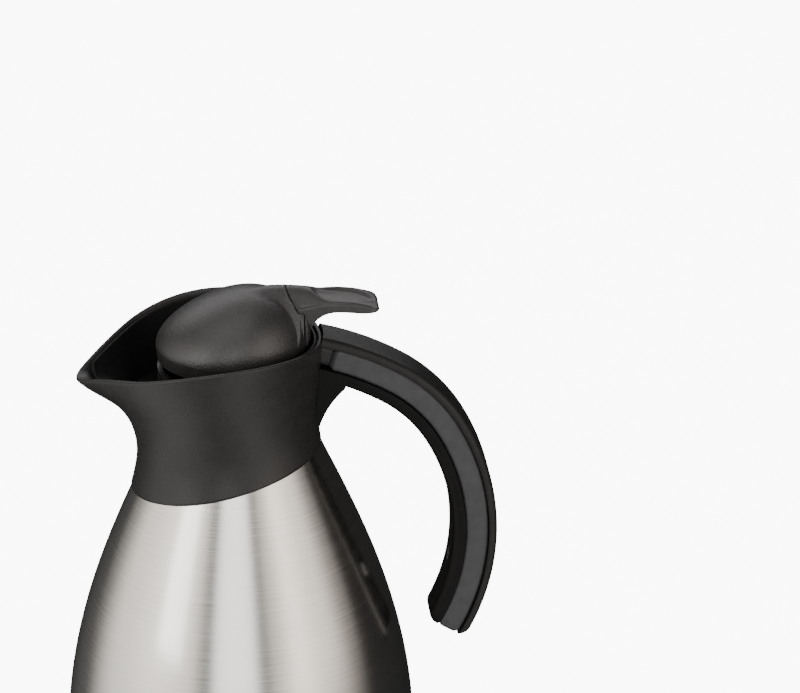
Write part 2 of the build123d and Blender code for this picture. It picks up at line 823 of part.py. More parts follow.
with BuildPart() as lid_plate:
    add(ring(dome_centre_x, skirt_foot_radius - plate_gap, 0, plate_foot, plate_top))
    with BuildSketch(Plane.XY.offset(valve_foot)):
        Circle(valve_neck_radius)
    extrude(amount=plate_foot - valve_foot)
    with BuildSketch() as knuckle_outline:
        with Locations((hinge_x, hinge_height)):
            Circle(knuckle_radius)
        with Locations((hinge_x, (hinge_height + plate_foot) / 2)):
            Rectangle(2 * knuckle_radius, hinge_height - plate_foot)
        with Locations((hinge_x, hinge_height)):
            Circle(hinge_pin_radius + hinge_clearance, mode=Mode.SUBTRACT)
    with BuildSketch(Plane.XY.offset(plate_foot)):
        for inner, outer, front in (
            (ear_inner - ear_clearance, ear_outer + ear_clearance, hinge_x - ear_radius - ear_clearance),
            (-knuckle_inner, knuckle_inner, stay_x + stay_thickness / 2 - ear_clearance),
            (-ear_outer - ear_clearance, -ear_inner + ear_clearance, hinge_x - ear_radius - ear_clearance),
        ):
            with Locations((front + dome_radius / 2, (inner + outer) / 2)):
                Rectangle(dome_radius, outer - inner)
    extrude(amount=plate_thickness, mode=Mode.SUBTRACT)
    add(side_pair(knuckle_outline.sketch, knuckle_inner, knuckle_outer))
    with BuildSketch(Plane.XY.offset(plate_foot)):
        with Locations(screw_spots):
            Circle(lid_screw_radius + fit_gap)
    extrude(amount=plate_thickness, mode=Mode.SUBTRACT)
    with BuildSketch(Plane.XY.offset(plate_foot)):
        with Locations(screw_spots):
            Circle(lid_screw_head + fit_gap)
    extrude(amount=lid_screw_head_height, mode=Mode.SUBTRACT)
lid_plate.part.label = "lid_plate"
export_step(lid_plate.part, "parts/lid_plate.step")

with BuildPart() as lid_screws:
    with BuildSketch(Plane.XY.offset(plate_foot)):
        with Locations(screw_spots):
            Circle(lid_screw_head)
    extrude(amount=lid_screw_head_height - fit_gap)
    with BuildSketch(Plane.XY.offset(plate_foot)):
        with Locations(screw_spots):
            Circle(lid_screw_radius - fit_gap)
    extrude(amount=plate_thickness + lid_screw_bite)
lid_screws.part.label = "lid_screws"
export_step(lid_screws.part, "parts/lid_screws.step")

with BuildPart() as valve_seal:
    add(ring(0, valve_radius, 0, seat_height + fit_gap, seat_height + fit_gap + valve_seal_thickness))
    fillet(valve_seal.edges().filter_by(GeomType.CIRCLE).group_by(Axis.Z)[0], valve_seal_thickness / 4)
    with BuildSketch(Plane.XY.offset(valve_foot - fit_gap)):
        Circle(valve_neck_radius + fit_gap)
    extrude(amount=valve_seal_thickness, mode=Mode.SUBTRACT)
valve_seal.part.label = "valve_seal"
export_step(valve_seal.part, "parts/valve_seal.step")

with BuildPart() as lid_insulation:
    add(ring(foam_centre_x, foam_radius, 0, plate_top + fit_gap, plate_top + foam_height))
lid_insulation.part.label = "lid_insulation"
export_step(lid_insulation.part, "parts/lid_insulation.step")


# ---- Spring of the lid: up behind the stay, round the pin, and forward onto the lid's plate
def spring_point(turn, share):
    """A point on the coil's middle line, turned clockwise from the front side, at a share of its width."""
    angle = radians(turn)
    return Vector(
        hinge_x - spring_coil_radius * cos(angle),
        spring_half_width * (2 * share - 1),
        hinge_height + spring_coil_radius * sin(angle),
    )


with BuildPart() as lid_spring:
    last_turn = 360 * spring_turns + spring_leg_turn
    steps = int(last_turn / 20)
    coil_points = [spring_point(last_turn * step / steps, step / steps) for step in range(steps + 1)]
    leg_way = Vector(sin(radians(spring_leg_turn)), 0, cos(radians(spring_leg_turn)))
    leg_drop = coil_points[-1].Z - plate_top - spring_wire_radius - fit_gap
    with BuildLine() as wire_path:
        foot_point = coil_points[0] - Vector(0, 0, hinge_height - spring_foot)
        Line(foot_point, coil_points[0])
        Spline(*coil_points, tangents=[(0, 0, 1), leg_way])
        Line(coil_points[-1], coil_points[-1] + leg_way * (leg_drop / -leg_way.Z))
    with BuildSketch(Plane(origin=foot_point, z_dir=(0, 0, 1))):
        Circle(spring_wire_radius)
    sweep(path=wire_path.wire(), transition=Transition.ROUND)
lid_spring.part.label = "lid_spring"
export_step(lid_spring.part, "parts/lid_spring.step")
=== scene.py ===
import bpy
import numpy as np
from math import pi, radians, tan
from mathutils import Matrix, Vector


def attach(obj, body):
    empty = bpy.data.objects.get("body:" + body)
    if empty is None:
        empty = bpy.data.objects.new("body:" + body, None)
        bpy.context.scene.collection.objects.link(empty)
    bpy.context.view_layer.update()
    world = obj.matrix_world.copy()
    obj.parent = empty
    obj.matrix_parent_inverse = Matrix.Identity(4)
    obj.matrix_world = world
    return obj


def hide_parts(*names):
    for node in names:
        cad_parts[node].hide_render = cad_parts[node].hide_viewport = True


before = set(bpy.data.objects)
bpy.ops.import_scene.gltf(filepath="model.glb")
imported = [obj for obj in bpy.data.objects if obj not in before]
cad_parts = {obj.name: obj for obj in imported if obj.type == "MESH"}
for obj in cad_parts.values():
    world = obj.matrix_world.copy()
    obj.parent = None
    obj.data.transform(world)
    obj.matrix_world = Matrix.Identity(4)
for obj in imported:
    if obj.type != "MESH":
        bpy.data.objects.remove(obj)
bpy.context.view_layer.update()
mm = 0.001

# ---- Studio: a long-lens camera in front of the carafe and above it, a pale table, three soft boxes and a
# fill light, and a room that is white to the camera but shows the steel bright panels with dark gaps.
camera_data = bpy.data.cameras.new("camera")
camera_data.sensor_width = 36.0
camera_data.lens = 162.0
camera_data.clip_end = 50.0
camera = bpy.data.objects.new("camera", camera_data)
camera.location = (-0.047717, -1.267038, 0.726480)
camera.rotation_mode = "QUATERNION"
camera.rotation_quaternion = Vector((0.0807, 0.9227, -0.3771)).to_track_quat("-Z", "Y")
bpy.context.scene.collection.objects.link(camera)
bpy.context.scene.camera = camera


def add_light(name, place, aim_height, size, power, colour):
    """A soft light at place, turned to a height on the flask's axis; size is its width and height in m."""
    data = bpy.data.lights.new(name, "AREA")
    data.shape = "RECTANGLE"
    data.size, data.size_y = size
    data.energy = power
    data.color = colour
    lamp = bpy.data.objects.new(name, data)
    lamp.location = place
    lamp.rotation_euler = (Vector((0, 0, aim_height)) - Vector(place)).to_track_quat("-Z", "Y").to_euler()
    bpy.context.scene.collection.objects.link(lamp)
    return lamp


add_light("top_softbox", (-0.2, 0.0, 1.3), 0.15, (1.1, 0.9), 3.0, (1.0, 0.985, 0.97))
add_light("rear_softbox", (0.0, 1.0, 0.85), 0.2, (1.6, 0.6), 5.0, (1.0, 0.985, 0.98))
add_light("left_softbox", (-1.1, -0.8, 0.6), 0.15, (0.5, 0.9), 2.8, (1.0, 0.985, 0.96))
right_fill = add_light("right_fill", (0.9, -1.0, 0.5), 0.15, (0.8, 0.8), 6.0, (1.0, 0.985, 0.97))
right_fill.visible_glossy = False

# The room's colours by compass angle, in degrees from the front: first its upper part, then its lower part.
upper_panels = [
    (-180, (0.02, 0.02, 0.02)), (-140, (0.04, 0.04, 0.04)), (-126, (0.32, 0.31, 0.3)),
    (-98, (1.4, 1.34, 1.25)), (-62, (2.0, 1.9, 1.79)), (-40, (1.5, 1.43, 1.34)),
    (-25, (0.03, 0.029, 0.028)), (-17, (2.4, 2.4, 2.4)), (5, (2.4, 2.4, 2.4)), (14, (0.03, 0.029, 0.028)),
    (24, (1.0, 0.93, 0.85)), (40, (2.4, 2.22, 2.05)), (62, (1.5, 1.38, 1.25)),
    (86, (0.3, 0.28, 0.26)), (97, (0.02, 0.018, 0.018)), (180, (0.015, 0.015, 0.015)),
]
lower_panels = [
    (-180, (0.02, 0.02, 0.02)), (-130, (0.1, 0.1, 0.1)), (-90, (1.3, 1.26, 1.22)),
    (-55, (1.4, 1.35, 1.31)), (-32, (0.9, 0.87, 0.84)), (-12, (0.3, 0.3, 0.3)), (6, (0.3, 0.3, 0.3)),
    (24, (1.0, 0.95, 0.91)), (42, (1.4, 1.33, 1.26)), (70, (0.4, 0.37, 0.34)),
    (95, (0.03, 0.03, 0.03)), (180, (0.015, 0.015, 0.015)),
]
backdrop_glow = 10.0
room = bpy.data.worlds.new("room")
room.use_nodes = True
bpy.context.scene.world = room
nodes, links = room.node_tree.nodes, room.node_tree.links
nodes.clear()
way = nodes.new("ShaderNodeTexCoord")
split = nodes.new("ShaderNodeSeparateXYZ")
links.new(way.outputs["Generated"], split.inputs[0])
forwards = nodes.new("ShaderNodeMath")
forwards.operation = "MULTIPLY"
forwards.inputs[1].default_value = -1.0
links.new(split.outputs["Y"], forwards.inputs[0])
bearing = nodes.new("ShaderNodeMath")
bearing.operation = "ARCTAN2"
links.new(split.outputs["X"], bearing.inputs[0])
links.new(forwards.outputs[0], bearing.inputs[1])
compass = nodes.new("ShaderNodeMapRange")
compass.inputs["From Min"].default_value = -pi
compass.inputs["From Max"].default_value = pi
links.new(bearing.outputs[0], compass.inputs["Value"])


def colours_round(panels):
    """The colour output of a smooth ramp over the compass angle, which the compass node gives as 0 to 1."""
    ramp = nodes.new("ShaderNodeValToRGB")
    ramp.color_ramp.interpolation = "EASE"
    stops = ramp.color_ramp.elements
    while len(stops) < len(panels):
        stops.new(0.5)
    for stop, (degrees_round, colour) in zip(stops, panels):
        stop.position = (degrees_round + 180) / 360
        stop.color = (*colour, 1.0)
    links.new(compass.outputs["Result"], ramp.inputs["Fac"])
    return ramp.outputs["Color"]


def soft_change(low, high, low_value, high_value):
    """A soft step with height: from one value to the other as the way looked at rises from low to high."""
    step = nodes.new("ShaderNodeMapRange")
    step.interpolation_type = "SMOOTHSTEP"
    step.inputs["From Min"].default_value = low
    step.inputs["From Max"].default_value = high
    step.inputs["To Min"].default_value = low_value
    step.inputs["To Max"].default_value = high_value
    links.new(split.outputs["Z"], step.inputs["Value"])
    return step.outputs["Result"]


upper_share = soft_change(-0.36, 0.06, 0.0, 1.0)
dimming_overhead = soft_change(0.5, 0.9, 1.0, 0.25)
panel_mix = nodes.new("ShaderNodeMix")
panel_mix.data_type = "RGBA"
links.new(upper_share, panel_mix.inputs["Factor"])
links.new(colours_round(lower_panels), panel_mix.inputs["A"])
links.new(colours_round(upper_panels), panel_mix.inputs["B"])
lit = nodes.new("ShaderNodeBackground")
links.new(panel_mix.outputs["Result"], lit.inputs["Color"])
links.new(dimming_overhead, lit.inputs["Strength"])
white = nodes.new("ShaderNodeBackground")
white.inputs["Color"].default_value = (1.0, 1.0, 1.0, 1.0)
white.inputs["Strength"].default_value = backdrop_glow
seen = nodes.new("ShaderNodeLightPath")
choose = nodes.new("ShaderNodeMixShader")
links.new(seen.outputs["Is Camera Ray"], choose.inputs["Fac"])
links.new(lit.outputs[0], choose.inputs[1])
links.new(white.outputs[0], choose.inputs[2])
sky = nodes.new("ShaderNodeOutputWorld")
links.new(choose.outputs[0], sky.inputs["Surface"])

table_reach = 6.0
table_glow = 9.0
table_corners = [(x * table_reach, y * table_reach, 0.0) for x, y in ((-1, -1), (1, -1), (1, 1), (-1, 1))]
table_mesh = bpy.data.meshes.new("table")
table_mesh.from_pydata(table_corners, [], [(0, 1, 2, 3)])
table = bpy.data.objects.new("table", table_mesh)
bpy.context.scene.collection.objects.link(table)
table.visible_glossy = False
table_finish = bpy.data.materials.new("table_finish")
table_finish.use_nodes = True
nodes, links = table_finish.node_tree.nodes, table_finish.node_tree.links
table_top = nodes["Principled BSDF"]
table_top.inputs["Base Color"].default_value = (0.9, 0.9, 0.9, 1)
table_top.inputs["Roughness"].default_value = 0.9
table_top.inputs["Emission Color"].default_value = (1.0, 1.0, 1.0, 1)
seen = nodes.new("ShaderNodeLightPath")
glow = nodes.new("ShaderNodeMath")
glow.operation = "MULTIPLY"
glow.inputs[1].default_value = table_glow
links.new(seen.outputs["Is Camera Ray"], glow.inputs[0])
links.new(glow.outputs[0], table_top.inputs["Emission Strength"])
table_mesh.materials.append(table_finish)


# ---- Flask's jacket: one sheet of stainless steel, spun to shape and then brushed round and round, open at
# the foot for the base plate and drawn in at the neck for the collar.
def link_mesh(name, points, quads, finish, body, caps=(), smooth=True):
    """A piece from points in mm, the quads between them and any other faces that close it."""
    mesh = bpy.data.meshes.new(name)
    mesh.from_pydata((points.reshape(-1, 3) * mm).tolist(), [], quads.tolist() + list(caps))
    mesh.polygons.foreach_set("use_smooth", np.full(len(mesh.polygons), smooth))
    mesh.materials.append(finish)
    mesh.update()
    piece = bpy.data.objects.new(name, mesh)
    bpy.context.scene.collection.objects.link(piece)
    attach(piece, body)
    return piece


def grid_faces(rows, columns, close_rows=False):
    """Corner numbers of the quads of a grid of points, row by row. Each row closes on itself, and where
    close_rows is true the last row joins the first."""
    r = np.arange(rows if close_rows else rows - 1)[:, None]
    c = np.arange(columns)[None, :]
    next_r, next_c = (r + 1) % rows * columns, (c + 1) % columns
    r = r * columns
    return np.stack([r + c, r + next_c, next_r + next_c, next_r + c], axis=-1).reshape(-1, 4)


def smooth_line(knots, start, end, count):
    """Points on the cubic spline through the knots with given end directions. In each span a point is a cubic
    of the chord length, and one linear system finds the slopes that make the second derivative run on."""
    knots = np.asarray(knots, float)
    chord = np.linalg.norm(np.diff(knots, axis=0), axis=1)
    reached = np.r_[0, chord.cumsum()]
    n = len(knots)
    system, right = np.zeros((n, n)), np.zeros((n, 2))
    system[0, 0] = system[-1, -1] = 1
    right[0] = np.asarray(start) / np.linalg.norm(start)
    right[-1] = np.asarray(end) / np.linalg.norm(end)
    for i in range(1, n - 1):
        a, b = chord[i - 1], chord[i]
        system[i, i - 1:i + 2] = (b, 2 * (a + b), a)
        right[i] = 3 * (b * (knots[i] - knots[i - 1]) / a + a * (knots[i + 1] - knots[i]) / b)
    slope = np.linalg.solve(system, right)
    along = np.linspace(0, reached[-1], count)
    span = np.clip(np.searchsorted(reached, along, side="right") - 1, 0, n - 2)
    h = chord[span][:, None]
    t = ((along - reached[span]) / chord[span])[:, None]
    return (
        knots[span] * (1 + 2 * t) * (1 - t) ** 2
        + slope[span] * h * t * (1 - t) ** 2
        + knots[span + 1] * t * t * (3 - 2 * t)
        + slope[span + 1] * h * t * t * (t - 1)
    )


def turned(profile, turns):
    """A profile of (radius, height) points turned about the flask's axis: x = r cos a, y = r sin a, z = h.
    The profile runs with the solid on its left, so that the faces point outwards."""
    angle = np.linspace(0, 2 * pi, turns, endpoint=False)
    r, h = profile[:, :1], profile[:, 1:]
    return np.stack([r * np.cos(angle), r * np.sin(angle), h + 0 * angle], axis=-1)


def new_group(name, inputs, outputs):
    """A new shader group with its nodes, links, input and output; inputs are numbers with their values."""
    group = bpy.data.node_groups.new(name, "ShaderNodeTree")
    for label, value in inputs:
        socket = group.interface.new_socket(label, in_out="INPUT", socket_type="NodeSocketFloat")
        socket.default_value = value
    for label, kind in outputs:
        group.interface.new_socket(label, in_out="OUTPUT", socket_type=kind)
    net = group.nodes
    return group, net, group.links, net.new("NodeGroupInput"), net.new("NodeGroupOutput")


def fine_scratches():
    """Noise drawn out flat into thin level lines: value = noise(x, y, z times stretch)."""
    group, net, wire, given, result = new_group(
        "fine_scratches", [("Stretch", 60.0), ("Scale", 30.0)], [("Lines", "NodeSocketFloat")]
    )
    place = net.new("ShaderNodeTexCoord")
    apart, joined = net.new("ShaderNodeSeparateXYZ"), net.new("ShaderNodeCombineXYZ")
    taller = net.new("ShaderNodeMath")
    taller.operation = "MULTIPLY"
    wire.new(place.outputs["Object"], apart.inputs[0])
    wire.new(apart.outputs["Z"], taller.inputs[0])
    wire.new(given.outputs["Stretch"], taller.inputs[1])
    wire.new(apart.outputs["X"], joined.inputs["X"])
    wire.new(apart.outputs["Y"], joined.inputs["Y"])
    wire.new(taller.outputs[0], joined.inputs["Z"])
    noise = net.new("ShaderNodeTexNoise")
    noise.inputs["Detail"].default_value = 4.0
    noise.inputs["Roughness"].default_value = 0.7
    wire.new(joined.outputs[0], noise.inputs["Vector"])
    wire.new(given.outputs["Scale"], noise.inputs["Scale"])
    wire.new(noise.outputs["Fac"], result.inputs["Lines"])
    return group


scratches = fine_scratches()
mask_span = (0.3, 0.7)
rough_swing = 0.05


def vary(finish, mask, colour, shares, rough):
    """Lets a mask move a finish: its colour between two shares of itself over the mask's span, its roughness
    down and up by the swing."""
    net, wire = finish.node_tree.nodes, finish.node_tree.links
    face = net["Principled BSDF"]
    shade = net.new("ShaderNodeValToRGB")
    for stop, place, share in zip(shade.color_ramp.elements, mask_span, shares):
        stop.position = place
        stop.color = (*(share * part for part in colour), 1)
    wire.new(mask, shade.inputs["Fac"])
    wire.new(shade.outputs["Color"], face.inputs["Base Color"])
    span = net.new("ShaderNodeMapRange")
    span.inputs["To Min"].default_value = rough - rough_swing
    span.inputs["To Max"].default_value = rough + rough_swing
    wire.new(mask, span.inputs["Value"])
    wire.new(span.outputs["Result"], face.inputs["Roughness"])


def steel_finish(name, colour, rough, stretch, scale, bump):
    """Brushed or satin steel: colour and roughness follow the scratch lines, height = lines times bump."""
    finish = bpy.data.materials.new(name)
    finish.use_nodes = True
    net, wire = finish.node_tree.nodes, finish.node_tree.links
    net["Principled BSDF"].inputs["Metallic"].default_value = 1.0
    lines = net.new("ShaderNodeGroup")
    lines.node_tree = scratches
    lines.inputs["Stretch"].default_value = stretch
    lines.inputs["Scale"].default_value = scale
    vary(finish, lines.outputs["Lines"], colour, (0.84, 1.0), rough)
    relief = net.new("ShaderNodeBump")
    relief.inputs["Strength"].default_value = 1.0
    relief.inputs["Distance"].default_value = bump
    wire.new(lines.outputs["Lines"], relief.inputs["Height"])
    wire.new(relief.outputs["Normal"], net["Principled BSDF"].inputs["Normal"])
    return finish


jacket_wall = 0.8
jacket_foot, belly, flank, shoulder = (64.4, 7.0), (68.1, 52.0), (56.2, 115.0), (35.35, 165.0)
cone_end, neck_foot = (28.39, 179.8), (27.0, 183.5)
neck_top = 188.0
foot_way, shoulder_way, neck_way = (0.17, 1), (-0.47, 1), (0, 1)
jacket_turns = 192
jacket_side = smooth_line([jacket_foot, belly, flank, shoulder], foot_way, shoulder_way, 150)
jacket_cone = smooth_line([shoulder, cone_end, neck_foot], shoulder_way, neck_way, 20)
outside = np.vstack([jacket_side, jacket_cone[1:], [(neck_foot[0], neck_top)]])
inside = np.vstack([outside[-1:], [neck_foot], jacket_cone[-2::-1], jacket_side[-2::-1]]) - (jacket_wall, 0)
jacket_profile = np.vstack([outside, inside])
brushed_jacket = steel_finish(
    "brushed_jacket", (0.88, 0.857, 0.815), rough=0.17, stretch=110.0, scale=20.0, bump=0.000006
)
brushed_jacket.node_tree.nodes["Principled BSDF"].inputs["Anisotropic"].default_value = 0.55
jacket = link_mesh(
    "jacket_shell",
    turned(jacket_profile, jacket_turns),
    grid_faces(len(jacket_profile), jacket_turns, close_rows=True),
    brushed_jacket,
    "flask",
)
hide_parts("outer_jacket")


# ---- Vessel, base plate, getter and sealing plug: the vacuum flask's hidden steel, pressed, left satin and
# joined to the jacket before the air between the walls is pumped out.
def dress(finish, *names):
    """Puts one finish on CAD nodes in place of the plain colour they come with."""
    for name in names:
        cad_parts[name].data.materials.clear()
        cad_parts[name].data.materials.append(finish)


satin_steel = steel_finish(
    "satin_steel", (0.68, 0.68, 0.67), rough=0.34, stretch=8.0, scale=90.0, bump=0.00001
)
dress(satin_steel, "inner_vessel", "jacket_base", "getter", "vacuum_seal")


# ---- Base: a black moulded cup pushed into the jacket's foot, and a soft rubber pad glued under it.
# The cup has the mould grain of the collar, a little finer and shallower.
def moulded_grain():
    """The grain of a mould, from a fine noise and one about eight times coarser: height = fine + half of
    coarse, and the mottle is the coarse noise alone."""
    group, net, wire, given, result = new_group(
        "moulded_grain",
        [("Grain", 2200.0), ("Depth", 0.00003)],
        [("Normal", "NodeSocketVector"), ("Mottle", "NodeSocketFloat")],
    )
    place = net.new("ShaderNodeTexCoord")
    fine, coarse = net.new("ShaderNodeTexNoise"), net.new("ShaderNodeTexNoise")
    fine.inputs["Detail"].default_value = 2.0
    coarse.inputs["Detail"].default_value = 3.0
    coarser, both = net.new("ShaderNodeMath"), net.new("ShaderNodeMath")
    coarser.operation, both.operation = "MULTIPLY", "MULTIPLY_ADD"
    coarser.inputs[1].default_value = 0.12
    both.inputs[1].default_value = 0.5
    relief = net.new("ShaderNodeBump")
    wire.new(place.outputs["Object"], fine.inputs["Vector"])
    wire.new(place.outputs["Object"], coarse.inputs["Vector"])
    wire.new(given.outputs["Grain"], fine.inputs["Scale"])
    wire.new(given.outputs["Grain"], coarser.inputs[0])
    wire.new(coarser.outputs[0], coarse.inputs["Scale"])
    wire.new(coarse.outputs["Fac"], both.inputs[0])
    wire.new(fine.outputs["Fac"], both.inputs[2])
    wire.new(both.outputs[0], relief.inputs["Height"])
    wire.new(given.outputs["Depth"], relief.inputs["Distance"])
    wire.new(relief.outputs["Normal"], result.inputs["Normal"])
    wire.new(coarse.outputs["Fac"], result.inputs["Mottle"])
    return group


grain = moulded_grain()


def moulded_finish(name, colour, rough, size, depth, shine=0.5):
    """Moulded plastic or rubber: colour and roughness follow the mottle; size is the grain's scale, depth
    its height in m, and shine the strength of its plain reflection."""
    finish = bpy.data.materials.new(name)
    finish.use_nodes = True
    net, wire = finish.node_tree.nodes, finish.node_tree.links
    net["Principled BSDF"].inputs["Specular IOR Level"].default_value = shine
    skin = net.new("ShaderNodeGroup")
    skin.node_tree = grain
    skin.inputs["Grain"].default_value = size
    skin.inputs["Depth"].default_value = depth
    vary(finish, skin.outputs["Mottle"], colour, (0.88, 1.08), rough)
    wire.new(skin.outputs["Normal"], net["Principled BSDF"].inputs["Normal"])
    return finish


base_black = moulded_finish("base_black", (0.03, 0.03, 0.03), rough=0.5, size=1800.0, depth=0.00003)
soft_rubber = moulded_finish(
    "soft_rubber", (0.035, 0.034, 0.033), rough=0.75, size=1400.0, depth=0.00002, shine=0.3
)
dress(base_black, "base_cup")
dress(soft_rubber, "foot_pad")


# ---- Collar: the neck piece, moulded in black plastic with a fine matte grain, its pouring nose drawn out of
# the front. It is slipped over the jacket's cone and held from inside by a threaded ring on a soft gasket.
def natural(knots, values, at):
    """Values on the natural cubic spline through pairs of knot and value: cubics whose second derivative runs
    on from span to span and is nothing at both ends."""
    knots, values = np.asarray(knots, float), np.asarray(values, float)
    gap, n = np.diff(knots), len(knots)
    system, right = np.eye(n), np.zeros(n)
    for i in range(1, n - 1):
        system[i, i - 1:i + 2] = (gap[i - 1], 2 * (gap[i - 1] + gap[i]), gap[i])
        right[i] = 6 * ((values[i + 1] - values[i]) / gap[i] - (values[i] - values[i - 1]) / gap[i - 1])
    bend = np.linalg.solve(system, right)
    k = np.clip(np.searchsorted(knots, at, side="right") - 1, 0, n - 2)
    a, b, h = knots[k + 1] - at, at - knots[k], gap[k]
    return (
        (bend[k] * a**3 + bend[k + 1] * b**3) / (6 * h)
        + (values[k] / h - bend[k] * h / 6) * a
        + (values[k + 1] / h - bend[k + 1] * h / 6) * b
    )


def step_up(value):
    """A soft step from 0 to 1 as the value goes from 0 to 1: 3 v squared less 2 v cubed."""
    v = np.clip(value, 0.0, 1.0)
    return v * v * (3 - 2 * v)


# Each row: height over the slanted foot, centre's x, half width, rear's x, and how far the nose stands out.
collar_sections = np.array([
    (-4.0, -4.3, 37.6, 33.3, 0.0),
    (13.0, -3.4, 34.8, 31.3, 0.0),
    (24.0, -3.4, 36.0, 32.0, 0.3),
    (36.0, -5.2, 39.4, 33.0, 2.0),
    (46.0, -7.0, 42.8, 34.0, 7.6),
    (58.0, -8.2, 46.2, 35.2, 12.0),
]).T
collar_foot = shoulder[1]
collar_slant = tan(radians(13.3))
nose_radius = 11.0
rim_radius = 125.0
rim_crest_x, rim_crest_z = 4.0, 218.5
lowest_cut, collar_top = 2.0, 58.0
halvings = 36


def collar_form(height, angle, inset):
    """The collar's surface at a height over its slanted foot and an angle from the nose, drawn in by inset.
    Seen from above it is a circle of radius s - inset about (c, 0), joined by two straight flanks to a nose
    circle, with half an ellipse at the rear. It rises to the rear: z = foot + height + x tan slant."""
    c, s, rear, nose = (natural(collar_sections[0], column, height) for column in collar_sections[1:])
    nose_reach = s + np.maximum(nose, 0.0) - nose_radius
    tip = nose_radius - inset
    flank = np.arccos(np.clip((s - nose_radius) / nose_reach, -1, 1))
    tip_end = np.arctan2(tip * np.sin(flank), nose_reach + tip * np.cos(flank))
    a = np.abs(angle)
    ellipse = 1 / np.sqrt((np.cos(a) / (rear - c - inset)) ** 2 + (np.sin(a) / (s - inset)) ** 2)
    straight = (s - inset) / np.cos(np.minimum(np.abs(flank - a), 1.4))
    front = nose_reach * np.cos(a) + np.sqrt(np.maximum(tip**2 - (nose_reach * np.sin(a)) ** 2, 0.0))
    r = np.select([a > pi / 2, a >= flank, a >= tip_end], [ellipse, s - inset, straight], front)
    x, y = c - r * np.cos(a), r * np.sin(a) * np.sign(angle)
    return np.stack([x, y, collar_foot + height + x * collar_slant], axis=-1)


def rim_height(x, drop):
    """Height of the rim over x: an arc of a large radius about a point under its crest, lowered by drop."""
    return rim_crest_z - rim_radius + np.sqrt((rim_radius - drop) ** 2 - (x - rim_crest_x) ** 2)


around = np.linspace(-pi, pi, 360, endpoint=False)


def height_at(target, inset):
    """For each angle, the height over the slanted foot at which the form reaches target(x), by halving."""
    low, high = np.full(around.shape, lowest_cut), np.full(around.shape, collar_top)
    for _ in range(halvings):
        middle = (low + high) / 2
        point = collar_form(middle, around, inset)
        under = point[..., 2] < target(point[..., 0])
        low, high = np.where(under, middle, low), np.where(under, high, middle)
    return low


def collar_rows(inset, share, drop):
    """Rows of points on the form drawn in by inset, from its foot at share 0 to the rim at share 1."""
    top = height_at(lambda x: rim_height(x, drop), inset)
    return collar_form(share[:, None] * top, around, inset)


def rim_arc(outer, inner, drop, rounding):
    """Rows over a rounded rim, from the outer inset to the inner one: two quarter circles and a flat."""
    t = pi / 2 * np.linspace(0.0, 1.0, rim_steps)
    insets = np.concatenate([outer + rounding * (1 - np.cos(t)), inner - rounding * (1 - np.sin(t))])
    drops = drop + rounding * (1 - np.concatenate([np.sin(t), np.cos(t)]))
    return np.concatenate([collar_rows(inset, np.ones(1), level) for inset, level in zip(insets, drops)])


def level_ring(height, inset):
    """The collar's form cut by a level plane: for each angle, the point whose height is the one given."""
    return collar_form(height_at(lambda x: height + 0 * x, inset), around, inset)


def round_ring(radius, height):
    """A circle about the flask's axis with its points at the same angles from the nose as the collar's."""
    return np.stack([-radius * np.cos(around), radius * np.sin(around), height + 0 * around], axis=-1)


collar_wall = 2.0
collar_rounding = 0.95
rim_steps = 6
lip_half_angle = 0.19
lip_back, lip_down = 5.5, 3.4
lip_share = step_up(1 - np.abs(around) / lip_half_angle)
up_wall = np.linspace(0.0, 1.0, 60)[:-1]
down_wall = up_wall[::-1]
collar_outside = collar_rows(0.0, up_wall, collar_rounding)
collar_inside = np.concatenate([
    rim_arc(0.0, collar_wall, 0.0, collar_rounding),
    collar_rows(collar_wall, down_wall, collar_rounding),
])
# The pouring lip: at the nose the inner half of the rim and the wall under it run back and dip.
over_rim = np.linspace(0.0, 1.0, rim_steps)
runs_back = np.concatenate([0 * over_rim, over_rim, np.ones(len(down_wall))])[:, None]
dips = np.concatenate([0 * over_rim, over_rim**2, down_wall**3])[:, None]
collar_inside[..., 0] += lip_back * lip_share * runs_back
collar_inside[..., 2] -= lip_down * lip_share * dips
collar_skin = np.concatenate([collar_outside, collar_inside])
collar_black = moulded_finish(
    "collar_black", (0.015, 0.0145, 0.0145), rough=0.4, size=1500.0, depth=0.00006, shine=0.42
)
collar = link_mesh(
    "collar_shell",
    collar_skin,
    grid_faces(len(collar_skin), len(around), close_rows=True)[:, ::-1],
    collar_black,
    "flask",
)
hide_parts("collar")

neck_clearance = 0.1
flange_hole = neck_foot[0] + neck_clearance
flange_foot, flange_top = 184.0, 186.0
flange_inset = 1.2
flange = np.stack([
    round_ring(flange_hole, flange_foot),
    level_ring(flange_foot, flange_inset),
    level_ring(flange_top, flange_inset),
    round_ring(flange_hole, flange_top),
])
link_mesh(
    "collar_flange",
    flange,
    grid_faces(len(flange), len(around), close_rows=True)[:, ::-1],
    collar_black,
    "flask",
    smooth=False,
)
dress(collar_black, "clamp_ring")
dress(soft_rubber, "neck_gasket")


# ---- Pouring insert: a smooth bowl moulded in grey plastic and dropped into the collar, with a rounded rim
# just under the collar's own and a floor that closes round the flask's mouth. Its colour, darker than the
# collar's black, is partly the insert's own tone and partly painted shade for the deep inside of the bowl.
# Near black: the insert's own dark grey, made darker still as painted shade for the deep bowl.
insert_grey_and_shade = moulded_finish(
    "insert_grey_and_shade", (0.007, 0.007, 0.007), rough=0.45, size=2600.0, depth=0.00001, shine=0.15
)
mouth_radius = 24.6
bowl_clearance, bowl_thickness = 0.3, 1.3
bowl_outer = collar_wall + bowl_clearance
bowl_inner = bowl_outer + bowl_thickness
bowl_drop = 1.2
bowl_rounding = 0.5
bowl_foot, bowl_floor = 190.0, 191.6
bowl_back, bowl_down = 5.8, 4.2
bowl_wall_from = 30.0
bowl_lip_reach = 12.0


